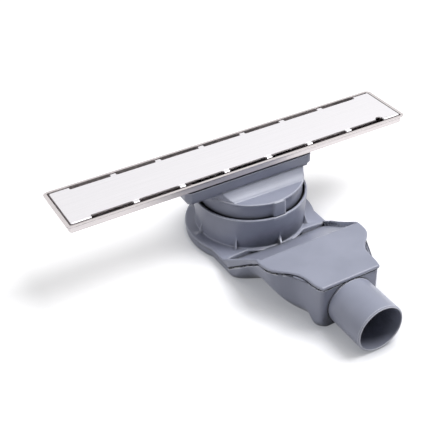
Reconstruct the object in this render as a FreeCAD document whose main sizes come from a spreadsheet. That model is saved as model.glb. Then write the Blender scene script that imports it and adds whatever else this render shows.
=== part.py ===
import FreeCAD, Part
import math
import os

import Sketcher

# Linear shower drain: stainless channel with a notched cover, and below it a grey plastic trap.
# Millimetres. The origin lies on the floor under the axis of the trap's round cup.
# +X runs along the channel, the outlet spigot points to -Y, and +Z is up.

doc = FreeCAD.newDocument("LinearShowerDrain")
sheet = doc.addObject("Spreadsheet::Sheet", "Sizes")

# Driving dimensions
SIZES = {
    # Sheet metal of the channel and its cover
    "sheet_metal": 1.2,             # channel, sheet thickness
    "cover_metal": 1.5,             # cover, sheet thickness
    "cover_length": 380,            # cover, length
    "cover_width": 57,              # cover, width
    "cover_depth": 6.3,             # cover, height over its folded edges
    "cover_corner": 1.8,            # cover, corner radius
    "cover_fold": 1,                # cover, outside radius of its folded edges
    "cover_gap": 1.2,               # gap round the centred cover inside the channel
    "cover_shift_along": 0.8,       # cover, pushed along the channel
    "cover_shift_across": 0.4,      # cover, pushed across the channel
    "notch_length": 43.5,           # cover notch, length
    "notch_pitch": 49.3,            # cover notches, spacing
    "notch_depth": 3.2,             # cover notch, depth from the cover's edge
    "notch_corner": 1.2,            # cover notch, radius of the inner corners
    "lift_radius": 4.4,             # lifting notch, radius
    "rim_width": 3.5,               # channel rim, width with the sheet of the wall
    "tray_corner": 3.4,             # channel, corner radius outside the wall
    "tray_bend": 1.9,               # channel, outside radius between wall and floor
    "buffer_height": 1.6,           # rubber pad under the cover
    "buffer_length": 5,             # rubber pad, length along the cover
    "buffer_width": 2.4,            # rubber pad, width

    # Outlet from the channel and the eccentric adapter
    "channel_offset": 18.4,         # channel centre, distance from the cup's axis
    "collar_offset": 14.9,          # collar centre, distance from the cup's axis
    "collar_length": 148,           # collar, length
    "collar_width": 59,             # collar, width
    "collar_corner": 7,             # collar, corner radius
    "collar_top": 88.2,             # collar, top above the floor
    "collar_band": 10,              # collar, height of the full-size band
    "collar_edge": 0.8,             # collar, rounding of its top edge
    "collar_step": 2.7,             # collar, inward step under the band
    "collar_underside": 73.6,       # collar, underside of the overhang
    "well_length": 128,             # collar opening, length
    "well_width": 40,               # collar opening, width
    "well_corner": 12,              # collar opening, corner radius
    "well_floor": 2.6,              # floor thickness in the overhang
    "gasket_thickness": 1.8,        # gasket between channel and collar
    "gasket_inset": 1,              # gasket edge, inside the collar's edge
    "frame_thickness": 1.6,         # clamp frame, thickness
    "frame_rail": 5.5,              # clamp frame, width of its rails
    "screw_radius": 1.75,           # clamp screw, shank radius
    "screw_head_radius": 2.7,       # clamp screw, head radius
    "screw_head_height": 1.7,       # clamp screw, head height
    "screw_length": 12,             # clamp screw, length under the head
    "screw_spacing": 52,            # clamp screws, spacing along the frame
    "fit": 0.15,                    # clearance round screws and seated parts
    "disc_radius": 56.9,            # adapter disc, radius
    "disc_top": 65.7,               # adapter disc, top above the floor
    "disc_thickness": 2.6,          # adapter disc, thickness
    "disc_edge": 1,                 # adapter disc, rounding of its top edge
    "blend_radius": 12,             # hollow blend from the collar down to the disc
    "skirt_gap": 2.2,               # gap between the adapter's skirt and the cup's bore
    "skirt_wall": 4,                # adapter skirt, wall
    "skirt_depth": 29,              # adapter skirt, depth under the disc's top
    "groove_depth": 2,              # ring groove, depth
    "groove_width": 4.3,            # ring groove, width
    "groove_rise": 3.2,             # ring groove, height above the skirt's end
    "ring_squeeze": 0.05,           # ring, clearance of its section to groove and bore
    "key_width": 13.4,              # locating key, width
    "key_rise": 1.9,                # locating key, reach past the cup's bore
    "key_drop": 19.5,               # locating key, depth under the disc's top

    # Lift-out parts
    "shaft_length": 92,             # opening under the well, length
    "shaft_width": 36,              # opening under the well, width
    "shaft_corner": 10,             # opening under the well, corner radius
    "seat_ledge": 3.5,              # ledge that carries the funnel
    "seal_thickness": 1.2,          # funnel seal, thickness
    "flange_thickness": 2.2,        # funnel flange, thickness
    "lift_wall": 1.8,               # funnel and seal cup, wall
    "dip_length": 62,               # funnel tube, outside length
    "dip_width": 15,                # funnel tube, outside width
    "dip_corner": 6,                # funnel tube, corner radius
    "dip_clear": 6.5,               # funnel tube, lower end above the seal cup's floor
    "seal_cup_length": 82,          # seal cup, outside length
    "seal_cup_width": 27,           # seal cup, outside width
    "seal_cup_corner": 8,           # seal cup, corner radius
    "seal_cup_base": 13,            # seal cup, underside above the floor
    "seal_cup_depth": 35,           # seal cup, outside depth
    "arm_width": 9,                 # seal cup, width of the two arms
    "strainer_thickness": 1.8,      # hair strainer, plate thickness
    "strainer_lap": 2.4,            # hair strainer, length past the opening at each end
    "strainer_hole": 2.6,           # hair strainer, hole radius
    "strainer_pitch": 8,            # hair strainer, hole spacing
    "handle_height": 8.5,           # hair strainer, height of the handle
    "handle_length": 34,            # hair strainer, length of the handle
    "handle_bar": 2.6,              # hair strainer, thickness of the handle

    # Trap body
    "wall": 2.2,                    # trap shells, wall
    "pan_radius": 70.5,             # pan, outside radius
    "pan_edge": 3,                  # pan, rounding of its lower edge
    "parting_height": 10,           # parting line round the pan, above the floor
    "platform_height": 13,          # platform round the cup, above the floor
    "platform_front": 51,           # platform's front edge, distance from the cup's axis
    "valley_height": 8.5,           # ramp's foot, above the floor
    "valley_inset": 1.8,            # slope of the platform's front face
    "flange_lap": 0.5,              # side flanges of the ramp, reach past the wall under them
    "pedestal_radius": 62,          # round foot of the cup, radius
    "rim_height": 49,               # cup rim, above the floor
    "cup_wall": 3.2,                # cup, wall at the rim
    "cup_draft": 2.2,               # cup, outside taper down to its foot
    "cup_foot": 1.4,                # cup, hollow blend into the platform
    "rim_edge": 0.8,                # cup rim, rounding of its outer edge
    "bore_radius": 57.6,            # cup, bore radius
    "bore_depth": 17,               # cup, depth of the straight bore
    "bore_taper": 1.8,              # cup, narrowing of the bore under the straight part
    "rim_chamfer": 0.8,             # cup rim, inner chamfer
    "rib_height": 11,               # rib, height above the platform
    "rib_foot": 5,                  # rib, width of its foot past the cup
    "rib_thickness": 1.8,           # rib, thickness
    "crest_reach": 109,             # outlet box, rear edge from the cup's axis
    "crest_height": 49.8,           # outlet box, rear edge above the floor
    "front_rise": 3.6,              # outlet box, rise of its lid towards the front
    "lip_height": 2.9,              # lid's lip over the walls of the box
    "lip_overhang": 0.8,            # lid's lip, overhang over the walls
    "lid_edge": 1.8,                # upper shell, rounding of its outer top edge
    "lid_corner": 2.5,              # lid, rounding of its front corners
    "box_corner": 5,                # outlet box, rounding round its front face
    "crest_edge": 3.5,              # rounding of the lid's rear edge over the ramp
    "flange_bend": 9,               # rounding of the side flanges where they meet the lid
    "ramp_drop": 5,                 # ramp's end, below the rear edge of the box
    "parting_front": 62,            # end of the level parting line, from the cup's axis
    "parting_rise": 50,             # length of the rising parting line
    "spigot_radius": 25,            # outlet spigot, outside radius
    "spigot_wall": 1.9,             # outlet spigot, wall
    "spigot_height": 25.4,          # outlet spigot, axis above the floor
    "spigot_length": 47.5,          # outlet spigot, length in front of the box
    "spigot_chamfer": 1.3,          # outlet spigot, chamfer at its end
    "root_width": 2,                # groove at the spigot's root, width
    "root_depth": 0.8,              # groove at the spigot's root, depth

    # Hull of neck and outlet box: stations from the cup's axis to the front
    "hull_top": 75,                 # hull sections, height before they are cut to the parting line
    "neck_half_width": 64.2,        # hull at the cup's axis, half width
    "neck_round": 4,                # hull at the cup's axis, radius of the lower corners
    "throat_gap": 60,               # hull station 1, from the cup's axis
    "throat_half_width": 63,        # hull station 1, half width
    "throat_round": 4,              # hull station 1, radius of the lower corners
    "heel_gap": 8,                  # hull station 2, from station 1
    "heel_half_width": 62.7,        # hull station 2, half width
    "heel_round": 5,                # hull station 2, radius of the lower corners
    "rise_gap": 11,                 # hull station 3, from station 2
    "rise_half_width": 60.3,        # hull station 3, half width
    "rise_round": 18,               # hull station 3, radius of the lower corners
    "arch_gap": 13,                 # hull station 4, from station 3
    "arch_half_width": 59.2,        # hull station 4, half width
    "arch_round": 42,               # hull station 4, radius of the lower corners
    "shoulder_gap": 24,             # hull station 5, from station 4
    "shoulder_half_width": 58.7,    # hull station 5, half width
    "shoulder_round": 48,           # hull station 5, radius of the lower corners
    "turn_gap": 11,                 # hull station 6, from station 5
    "turn_half_width": 56.6,        # hull station 6, half width
    "turn_round": 44,               # hull station 6, radius of the lower corners
    "hip_gap": 11,                  # hull station 7, from station 6
    "hip_half_width": 47.6,         # hull station 7, half width
    "hip_round": 29,                # hull station 7, radius of the lower corners
    "waist_gap": 11.5,              # hull station 8, from station 7
    "waist_half_width": 38.1,       # hull station 8, half width
    "waist_round": 20,              # hull station 8, radius of the lower corners
    "mouth_gap": 11.5,              # hull station 9, from station 8
    "mouth_half_width": 35.2,       # hull station 9, half width
    "mouth_round": 19,              # hull station 9, radius of the lower corners
    "front_gap": 17.5,              # hull front, from station 9
    "front_half_width": 31.8,       # hull front, half width
    "front_round": 17,              # hull front, radius of the lower corners
}


class Size:
    """A length that knows its number and the sheet formula that gives it."""

    def __init__(self, value, text):
        self.value = float(value)
        self.text = text

    def __add__(self, other):
        return Size(self.value + other.value, f"({self.text} + {other.text})")

    def __sub__(self, other):
        return Size(self.value - other.value, f"({self.text} - {other.text})")

    def __neg__(self):
        return Size(-self.value, f"(-1 * {self.text})")

    def __mul__(self, factor):
        return Size(self.value * factor, f"({self.text} * {factor})")

    def __truediv__(self, divisor):
        return Size(self.value / divisor, f"({self.text} / {divisor})")

    def times(self, other):
        return Size(self.value * other.value, f"({self.text} * {other.text})")

    def over(self, other):
        return Size(self.value / other.value, f"({self.text} / {other.text})")


class SizeTable:
    """The driving dimensions, kept in the sheet and handed out by name."""

    def __init__(self, values):
        for number, (alias, value) in enumerate(values.items(), 1):
            sheet.set(f"A{number}", alias.replace("_", " "))
            sheet.set(f"B{number}", str(value))
            sheet.setAlias(f"B{number}", alias)
            setattr(self, alias, Size(value, f"Sizes.{alias}"))


ZERO = Size(0, "0")
size = SizeTable(SIZES)
doc.recompute()

# Derived lengths
tray_inner_length = size.cover_length + size.cover_gap * 2
tray_inner_width = size.cover_width + size.cover_gap * 2
tray_base = size.collar_top + size.gasket_thickness
tray_floor = tray_base + size.sheet_metal
cover_base = tray_floor + size.buffer_height
cover_top = cover_base + size.cover_depth
cover_x = size.cover_shift_along - size.channel_offset
ledge_height = size.collar_underside + size.well_floor
flange_base = size.disc_top + size.seal_thickness
skirt_end = size.disc_top - size.skirt_depth
skirt_radius = size.bore_radius - size.skirt_gap
key_reach = size.bore_radius + size.key_rise
throat_reach = size.throat_gap
heel_reach = throat_reach + size.heel_gap
rise_reach = heel_reach + size.rise_gap
arch_reach = rise_reach + size.arch_gap
shoulder_reach = arch_reach + size.shoulder_gap
turn_reach = shoulder_reach + size.turn_gap
hip_reach = turn_reach + size.hip_gap
waist_reach = hip_reach + size.waist_gap
mouth_reach = waist_reach + size.mouth_gap
front_reach = mouth_reach + size.front_gap
lid_slope = size.front_rise.over(front_reach - size.crest_reach)
beyond = size.wall * 5

PLANES = {
    "XY": FreeCAD.Rotation(),
    "XZ": FreeCAD.Rotation(FreeCAD.Vector(1, 0, 0), 90),
    "YZ": FreeCAD.Rotation(FreeCAD.Vector(1, 1, 1), 120),
}
PLANE_NORMAL_AXIS = {"XY": "z", "XZ": "y", "YZ": "x"}


def bind_point(sketch, geometry, position, corner):
    """Hold a sketch point at the two lengths of a corner."""
    for axis, length in (("DistanceX", corner[0]), ("DistanceY", corner[1])):
        index = sketch.addConstraint(Sketcher.Constraint(axis, geometry, position, length.value))
        sketch.setExpression(f"Constraints[{index}]", length.text)


def corner_tangents(before, here, after, radius):
    """Return where a corner's arc leaves its two sides, its centre and whether it turns left."""
    back = (before - here).normalize()
    ahead = (after - here).normalize()
    angle = back.getAngle(ahead)
    reach = radius / math.tan(angle / 2)
    bisector = (back + ahead).normalize()
    centre = here + bisector * (radius / math.sin(angle / 2))
    turns_left = (back * -1).cross(ahead).z > 0
    return here + back * reach, here + ahead * reach, centre, turns_left


def draw_loop(sketch, corners):
    """Draw a closed outline; a corner with a third length is rounded by that radius."""
    points = [FreeCAD.Vector(corner[0].value, corner[1].value, 0) for corner in corners]
    count = len(corners)
    starts, ends, arcs = [], [], {}
    for i in range(count):
        here = points[i]
        if len(corners[i]) == 3:
            leave, rejoin, centre, turns_left = corner_tangents(
                points[i - 1], here, points[(i + 1) % count], corners[i][2].value
            )
            arcs[i] = (leave, rejoin, centre, turns_left)
            ends.append(leave)
            starts.append(rejoin)
        else:
            ends.append(here)
            starts.append(here)
    lines = []
    for i in range(count):
        following = (i + 1) % count
        lines.append(sketch.addGeometry(Part.LineSegment(starts[i], ends[following]), False))
    for i in range(count):
        arriving, leaving = lines[i - 1], lines[i]
        if i not in arcs:
            sketch.addConstraint(Sketcher.Constraint("Coincident", arriving, 2, leaving, 1))
            bind_point(sketch, leaving, 1, corners[i])
            continue
        leave, rejoin, centre, turns_left = arcs[i]
        first, last = (leave, rejoin) if turns_left else (rejoin, leave)
        start_angle = math.atan2(first.y - centre.y, first.x - centre.x)
        end_angle = math.atan2(last.y - centre.y, last.x - centre.x)
        circle = Part.Circle(centre, FreeCAD.Vector(0, 0, 1), corners[i][2].value)
        arc = sketch.addGeometry(Part.ArcOfCircle(circle, start_angle, end_angle), False)
        arriving_end, leaving_end = (1, 2) if turns_left else (2, 1)
        sketch.addConstraint(Sketcher.Constraint("Tangent", arriving, 2, arc, arriving_end))
        sketch.addConstraint(Sketcher.Constraint("Tangent", leaving, 1, arc, leaving_end))
        index = sketch.addConstraint(Sketcher.Constraint("Radius", arc, corners[i][2].value))
        sketch.setExpression(f"Constraints[{index}]", corners[i][2].text)
        corner_point = sketch.addGeometry(Part.Point(points[i]), True)
        bind_point(sketch, corner_point, 1, corners[i])
        sketch.addConstraint(Sketcher.Constraint("PointOnObject", corner_point, 1, arriving))
        sketch.addConstraint(Sketcher.Constraint("PointOnObject", corner_point, 1, leaving))


def draw_circle(sketch, centre, radius):
    """Draw a circle whose centre and radius are bound to the sheet."""
    middle = FreeCAD.Vector(centre[0].value, centre[1].value, 0)
    circle = sketch.addGeometry(Part.Circle(middle, FreeCAD.Vector(0, 0, 1), radius.value), False)
    bind_point(sketch, circle, 3, centre)
    index = sketch.addConstraint(Sketcher.Constraint("Radius", circle, radius.value))
    sketch.setExpression(f"Constraints[{index}]", radius.text)


def oblong(length, width, corner, centre_x=ZERO):
    """Return the corners of a rectangle with rounded corners, centred at a point of the X axis."""
    left, right = centre_x - length / 2, centre_x + length / 2
    low, high = -(width / 2), width / 2
    return [(left, low, corner), (right, low, corner), (right, high, corner), (left, high, corner)]


def fill_sketch(sketch, loops, circles):
    """Draw all outlines of a sketch."""
    for corners in loops:
        draw_loop(sketch, corners)
    for centre, radius in circles:
        draw_circle(sketch, centre, radius)


def free_sketch(name, plane, loops, circles=(), offset=ZERO):
    """Make a sketch that stands by itself on one of the main planes."""
    sketch = doc.addObject("Sketcher::SketchObject", name)
    sketch.Placement = FreeCAD.Placement(FreeCAD.Vector(), PLANES[plane])
    sketch.setExpression(f"Placement.Base.{PLANE_NORMAL_AXIS[plane]}", offset.text)
    fill_sketch(sketch, loops, circles)
    return sketch


def prism(name, plane, loops, length, offset=ZERO, circles=(), centred=False):
    """Pull a free sketch straight out along its plane's axis, towards plus."""
    profile = free_sketch(name + "_profile", plane, loops, circles, offset)
    solid = doc.addObject("Part::Extrusion", name)
    solid.Base = profile
    solid.DirMode = "Custom"
    directions = {"XY": (0, 0, 1), "XZ": (0, 1, 0), "YZ": (1, 0, 0)}
    solid.Dir = FreeCAD.Vector(*directions[plane])
    solid.Solid = True
    solid.Symmetric = centred
    solid.setExpression("LengthFwd", length.text)
    return solid


def turned(name, loop):
    """Turn a profile, given as radius and height, about the cup's axis."""
    profile = free_sketch(name + "_profile", "XZ", [loop])
    solid = doc.addObject("Part::Revolution", name)
    solid.Source = profile
    solid.Axis = FreeCAD.Vector(0, 0, 1)
    solid.Angle = 360
    solid.Solid = True
    return solid


def cylinder(name, radius, height, base):
    """Make an upright cylinder on the cup's axis."""
    solid = doc.addObject("Part::Cylinder", name)
    solid.setExpression("Radius", radius.text)
    solid.setExpression("Height", height.text)
    solid.setExpression("Placement.Base.z", base.text)
    return solid


def fuse(name, pieces):
    """Join solids."""
    result = doc.addObject("Part::MultiFuse", name)
    result.Shapes = pieces
    result.Refine = True
    return result


def common(name, pieces):
    """Keep what solids share."""
    result = doc.addObject("Part::MultiCommon", name)
    result.Shapes = pieces
    return result


def cut(name, base, tool):
    """Take one solid out of another."""
    result = doc.addObject("Part::Cut", name)
    result.Base = base
    result.Tool = tool
    return result


def ring(name, inner, outer, low, high):
    """Turn a square-edged ring about the cup's axis."""
    return turned(name, [(inner, low), (outer, low), (outer, high), (inner, high)])


def group(name, pieces):
    """Keep equal loose pieces together."""
    result = doc.addObject("Part::Compound", name)
    result.Links = pieces
    return result


def upright(name, x, y, radius, height, base):
    """Make an upright cylinder at a point of the plan."""
    solid = cylinder(name, radius, height, base)
    solid.setExpression("Placement.Base.x", x.text)
    solid.setExpression("Placement.Base.y", y.text)
    return solid


def block(name, corner, lengths):
    """Make a box from its lowest corner and its three lengths."""
    solid = doc.addObject("Part::Box", name)
    for side, length in zip(("Length", "Width", "Height"), lengths):
        solid.setExpression(side, length.text)
    for axis, place in zip("xyz", corner):
        solid.setExpression(f"Placement.Base.{axis}", place.text)
    return solid


def body_sketch(body, name, height, loops, circles=()):
    """Attach a sketch to a body's own XY plane, raised to a height."""
    sketch = body.newObject("Sketcher::SketchObject", name)
    plane = [item for item in body.Origin.OriginFeatures if item.Role == "XY_Plane"][0]
    sketch.AttachmentSupport = [(plane, "")]
    sketch.MapMode = "FlatFace"
    sketch.setExpression("AttachmentOffset.Base.z", height.text)
    fill_sketch(sketch, loops, circles)
    return sketch


def pad(body, name, sketch, length):
    """Raise a body's sketch into a solid."""
    feature = body.newObject("PartDesign::Pad", name)
    feature.Profile = sketch
    feature.setExpression("Length", length.text)
    doc.recompute()
    return feature


def pocket_up(body, name, sketch, length):
    """Cut upwards from a body's sketch, and make sure that something is cut."""
    before = body.Shape.Volume
    feature = body.newObject("PartDesign::Pocket", name)
    feature.Profile = sketch
    feature.Reversed = True
    feature.setExpression("Length", length.text)
    doc.recompute()
    if not body.Shape.Volume < before:
        raise RuntimeError(f"{name} cuts nothing")
    return feature


# Cover

NOTCH_COUNT = 7


def notch_row(side):
    """Return the first notch of one long edge, open towards that edge."""
    left = cover_x - size.notch_pitch * ((NOTCH_COUNT - 1) / 2) - size.notch_length / 2
    right = left + size.notch_length
    edge = size.cover_shift_across + (size.cover_width / 2) * side
    inner = edge - size.notch_depth * side
    outside = edge + size.notch_depth * side
    rounded = [(left, inner, size.notch_corner), (right, inner, size.notch_corner)]
    corners = rounded + [(right, outside), (left, outside)]
    return corners if side > 0 else corners[::-1]


def moved(corners, across):
    """Shift an outline across the channel."""
    return [(corner[0], corner[1] + across) + tuple(corner[2:]) for corner in corners]


def top_edges(shape):
    """Return the names of the edges round a shape's top face."""
    top = shape.BoundBox.ZMax
    near = size.sheet_metal.value / 10
    return [f"Edge{i}" for i, edge in enumerate(shape.Edges, 1) if edge.BoundBox.ZMin > top - near]


def make_cover():
    """Cover plate with folded edges, seven notches along each long edge and a lifting notch."""
    body = doc.addObject("PartDesign::Body", "Cover")
    length, width = size.cover_length, size.cover_width
    outline = moved(oblong(length, width, size.cover_corner, cover_x), size.cover_shift_across)
    sketch = body_sketch(body, "CoverOutline", cover_base, [outline])
    plate = pad(body, "CoverBlock", sketch, size.cover_depth)
    metal = size.cover_metal
    fold = body.newObject("PartDesign::Fillet", "CoverFold")
    fold.Base = (plate, top_edges(plate.Shape))
    fold.setExpression("Radius", size.cover_fold.text)
    inside = oblong(length - metal * 2, width - metal * 2, size.cover_corner / 2, cover_x)
    hollow = body_sketch(body, "CoverInside", cover_base, [moved(inside, size.cover_shift_across)])
    pocket_up(body, "CoverHollow", hollow, size.cover_depth - size.cover_metal)
    notches = body_sketch(body, "NotchPair", cover_base, [notch_row(1), notch_row(-1)])
    first = pocket_up(body, "FirstNotches", notches, size.cover_depth * 2)
    row = body.newObject("PartDesign::LinearPattern", "NotchRow")
    row.Originals = [first]
    row.Direction = (notches, ["H_Axis"])
    row.Occurrences = NOTCH_COUNT
    row.setExpression("Length", (size.notch_pitch * (NOTCH_COUNT - 1)).text)
    body.Tip = row
    doc.recompute()
    notch_end = cover_x + size.notch_pitch * ((NOTCH_COUNT - 1) / 2) + size.notch_length / 2
    notch_line = size.cover_shift_across - size.cover_width / 2 + size.notch_depth
    bite = [((notch_end - size.lift_radius, notch_line), size.lift_radius)]
    circle = body_sketch(body, "LiftingCircle", cover_base, [], bite)
    pocket_up(body, "LiftingNotch", circle, size.cover_depth * 2)
    return body


def make_buffers():
    """Rubber pads that carry the tabs between the notches."""
    pads = []
    for side in (1, -1):
        edge = size.cover_shift_across + (size.cover_width / 2) * side
        low = edge - size.buffer_width if side > 0 else edge
        for i in range(NOTCH_COUNT - 1):
            middle = cover_x + size.notch_pitch * (i - (NOTCH_COUNT - 2) / 2)
            corner = (middle - size.buffer_length / 2, low, tray_floor)
            name = f"Buffer{len(pads) + 1}"
            pads.append(block(name, corner, (size.buffer_length, size.buffer_width, size.buffer_height)))
    return group("Buffers", pads)


# Channel and its clamp

def well_outline(grow=ZERO):
    """Return the outline of the outlet opening, grown all round."""
    length, width = size.well_length + grow * 2, size.well_width + grow * 2
    return oblong(length, width, size.well_corner + grow, -size.collar_offset)


def screw_points():
    """Return the six screw axes on the middle of the frame's rails."""
    across = size.well_width / 2 + size.frame_rail / 2
    along = [size.screw_spacing * i - size.collar_offset for i in (-1, 0, 1)]
    return [(x, across * side) for side in (1, -1) for x in along]


def screw_circles():
    """Return the clearance holes of the clamp screws."""
    return [(point, size.screw_radius + size.fit) for point in screw_points()]


def rounded(name, solid, radius, wanted):
    """Round the edges that the test accepts."""
    doc.recompute()
    result = doc.addObject("Part::Fillet", name)
    result.Base = solid
    numbers = [i for i, edge in enumerate(solid.Shape.Edges, 1) if wanted(edge)]
    if not numbers:
        raise RuntimeError(f"{name} finds no edge")
    result.Edges = [(i, radius.value, radius.value) for i in numbers]
    return result


def level_at(height):
    """Return a test for edges that lie at one height."""
    low = height.value - size.sheet_metal.value / 10
    high = height.value + size.sheet_metal.value / 10
    return lambda edge: edge.BoundBox.ZMin > low and edge.BoundBox.ZMax < high


def make_tray():
    """Pressed channel: wall, rounded floor, outward rim, outlet opening and screw holes."""
    x = -size.channel_offset
    rise = cover_top - tray_base
    outer_length = tray_inner_length + size.sheet_metal * 2
    outer_width = tray_inner_width + size.sheet_metal * 2
    outline = oblong(outer_length, outer_width, size.tray_corner, x)
    outside = prism("TrayOutside", "XY", [outline], rise, tray_base)
    outside = rounded("TrayBend", outside, size.tray_bend, level_at(tray_base))
    overhang = size.rim_width - size.sheet_metal
    rim_length, rim_width = outer_length + overhang * 2, outer_width + overhang * 2
    rim_outline = oblong(rim_length, rim_width, size.tray_corner + overhang, x)
    rim = prism("TrayRim", "XY", [rim_outline], size.sheet_metal, cover_top - size.sheet_metal)
    inner_outline = oblong(tray_inner_length, tray_inner_width, size.tray_corner - size.sheet_metal, x)
    inside = prism("TrayInside", "XY", [inner_outline], rise, tray_floor)
    inner_bend = size.tray_bend - size.sheet_metal
    inside = rounded("TrayInnerBend", inside, inner_bend, level_at(tray_floor))
    opening = prism("TrayOpening", "XY", [well_outline()], rise, tray_base - size.sheet_metal)
    holes_base = tray_base - size.sheet_metal
    holes = prism("TrayScrewHoles", "XY", [], size.sheet_metal * 3, holes_base, screw_circles())
    shell = fuse("TrayShell", [outside, rim])
    return cut("Tray", shell, fuse("TrayCuts", [inside, opening, holes]))


def make_gasket():
    """Flat gasket on the collar's top."""
    loops = [collar_outline(size.gasket_inset), well_outline()]
    return prism("Gasket", "XY", loops, size.gasket_thickness, size.collar_top, screw_circles())


def make_clamp_frame():
    """Flat frame round the outlet opening, on the channel floor."""
    loops = [well_outline(size.frame_rail), well_outline()]
    return prism("ClampFrame", "XY", loops, size.frame_thickness, tray_floor, screw_circles())


def make_screws():
    """Six pan-head screws through frame, channel and gasket into the collar."""
    seat = tray_floor + size.frame_thickness
    screws = []
    for i, (x, y) in enumerate(screw_points(), 1):
        shank = upright(f"Shank{i}", x, y, size.screw_radius, size.screw_length, seat - size.screw_length)
        head = upright(f"Head{i}", x, y, size.screw_head_radius, size.screw_head_height, seat)
        screws.append(fuse(f"Screw{i}", [shank, head]))
    return group("Screws", screws)


# Eccentric adapter

def collar_outline(inset=ZERO):
    """Return the collar's outline, drawn in all round."""
    length, width = size.collar_length - inset * 2, size.collar_width - inset * 2
    return oblong(length, width, size.collar_corner - inset, -size.collar_offset)


def make_collar():
    """Full-size band, sloped step and drawn-in underside of the collar."""
    band_base = size.collar_top - size.collar_band
    step_base = band_base - size.collar_step
    band = prism("CollarBand", "XY", [collar_outline()], size.collar_band, band_base)
    band = rounded("CollarEdge", band, size.collar_edge, level_at(size.collar_top))
    step = doc.addObject("Part::Loft", "CollarStep")
    upper = free_sketch("StepUpper", "XY", [collar_outline()], (), band_base)
    lower = free_sketch("StepLower", "XY", [collar_outline(size.collar_step)], (), step_base)
    step.Sections = [lower, upper]
    step.Solid = True
    step.Ruled = True
    foot_height = step_base - size.collar_underside
    foot = prism("CollarFoot", "XY", [collar_outline(size.collar_step)], foot_height, size.collar_underside)
    return [band, step, foot]


def make_neck():
    """Body between disc and collar with a hollow blend at the front and at the back."""
    half = size.collar_width / 2 - size.collar_step
    foot = half + size.blend_radius + size.disc_thickness
    base = size.disc_top - size.disc_thickness / 2
    head = size.collar_top - size.collar_band
    profile = [
        (-foot, base), (foot, base), (foot, size.disc_top), (half, size.disc_top, size.blend_radius),
        (half, head), (-half, head), (-half, size.disc_top, size.blend_radius), (-foot, size.disc_top),
    ]
    run = prism("NeckRun", "YZ", [profile], size.disc_radius * 2, -size.disc_radius)
    limit = cylinder("NeckLimit", size.disc_radius - size.disc_edge, head - base, base)
    return common("Neck", [run, limit])


def make_disc():
    """Round disc with the skirt that enters the cup."""
    under = size.disc_top - size.disc_thickness
    inner = skirt_radius - size.skirt_wall
    profile = [
        (ZERO, size.disc_top), (ZERO, under), (inner, under), (inner, skirt_end), (skirt_radius, skirt_end),
        (skirt_radius, under), (size.disc_radius, under), (size.disc_radius, size.disc_top, size.disc_edge),
    ]
    return turned("Disc", profile)


def make_key():
    """Locating key at the front of the skirt, round on its outside."""
    inner = skirt_radius - size.skirt_wall / 2
    outer = key_reach + size.key_rise
    corner = (-(size.key_width / 2), -outer, size.disc_top - size.key_drop)
    bar = block("KeyBar", corner, (size.key_width, outer - inner, size.key_drop - size.disc_edge))
    limit = cylinder("KeyLimit", key_reach, size.key_drop, size.disc_top - size.key_drop)
    return common("Key", [bar, limit])


def shaft_outline(inset=ZERO):
    """Return the outline of the opening under the well, drawn in all round."""
    length, width = size.shaft_length - inset * 2, size.shaft_width - inset * 2
    return oblong(length, width, size.shaft_corner - inset)


def make_adapter():
    """One moulding: collar, neck, disc, skirt and key, with the well and its ledges."""
    solid = fuse("AdapterSolid", make_collar() + [make_neck(), make_disc(), make_key()])
    well = prism("Well", "XY", [well_outline()], size.collar_top, ledge_height)
    shaft = prism("Shaft", "XY", [shaft_outline()], size.collar_top, size.disc_top)
    mouth_base = size.disc_top - size.disc_thickness * 2
    mouth = prism("Mouth", "XY", [shaft_outline(size.seat_ledge)], size.collar_top, mouth_base)
    holes_base = tray_floor + size.frame_thickness - size.screw_length - size.fit
    holes = prism("AdapterScrewHoles", "XY", [], size.screw_length, holes_base, screw_circles())
    low = skirt_end + size.groove_rise
    inner, outer = skirt_radius - size.groove_depth, skirt_radius + size.skirt_gap
    groove = ring("Groove", inner, outer, low, low + size.groove_width)
    return cut("Adapter", solid, fuse("AdapterCuts", [well, shaft, mouth, holes, groove]))


def make_o_ring():
    """Ring in the skirt's groove that seals against the cup's bore."""
    floor = skirt_radius - size.groove_depth
    solid = doc.addObject("Part::Torus", "SkirtRing")
    solid.setExpression("Radius1", ((floor + size.bore_radius) / 2).text)
    solid.setExpression("Radius2", ((size.bore_radius - floor) / 2 - size.ring_squeeze).text)
    solid.setExpression("Placement.Base.z", (skirt_end + size.groove_rise + size.groove_width / 2).text)
    return solid


# Lift-out parts

def make_funnel_seal():
    """Flat seal on the ledge under the funnel."""
    loops = [shaft_outline(size.fit), shaft_outline(size.seat_ledge)]
    return prism("FunnelSeal", "XY", loops, size.seal_thickness, size.disc_top)


def make_funnel():
    """Flange with the flat tube that dips under the water in the seal cup."""
    end = size.seal_cup_base + size.lift_wall + size.dip_clear
    top = flange_base + size.flange_thickness
    flange = prism("FunnelFlange", "XY", [shaft_outline(size.fit)], size.flange_thickness, flange_base)
    length, width = size.dip_length, size.dip_width
    tube_outline = oblong(length, width, size.dip_corner)
    tube = prism("FunnelTube", "XY", [tube_outline], flange_base - end, end)
    wall = size.lift_wall
    hole = oblong(length - wall * 2, width - wall * 2, size.dip_corner - wall)
    bore = prism("FunnelBore", "XY", [hole], top, end - wall)
    return cut("Funnel", fuse("FunnelSolid", [flange, tube]), bore)


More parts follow.
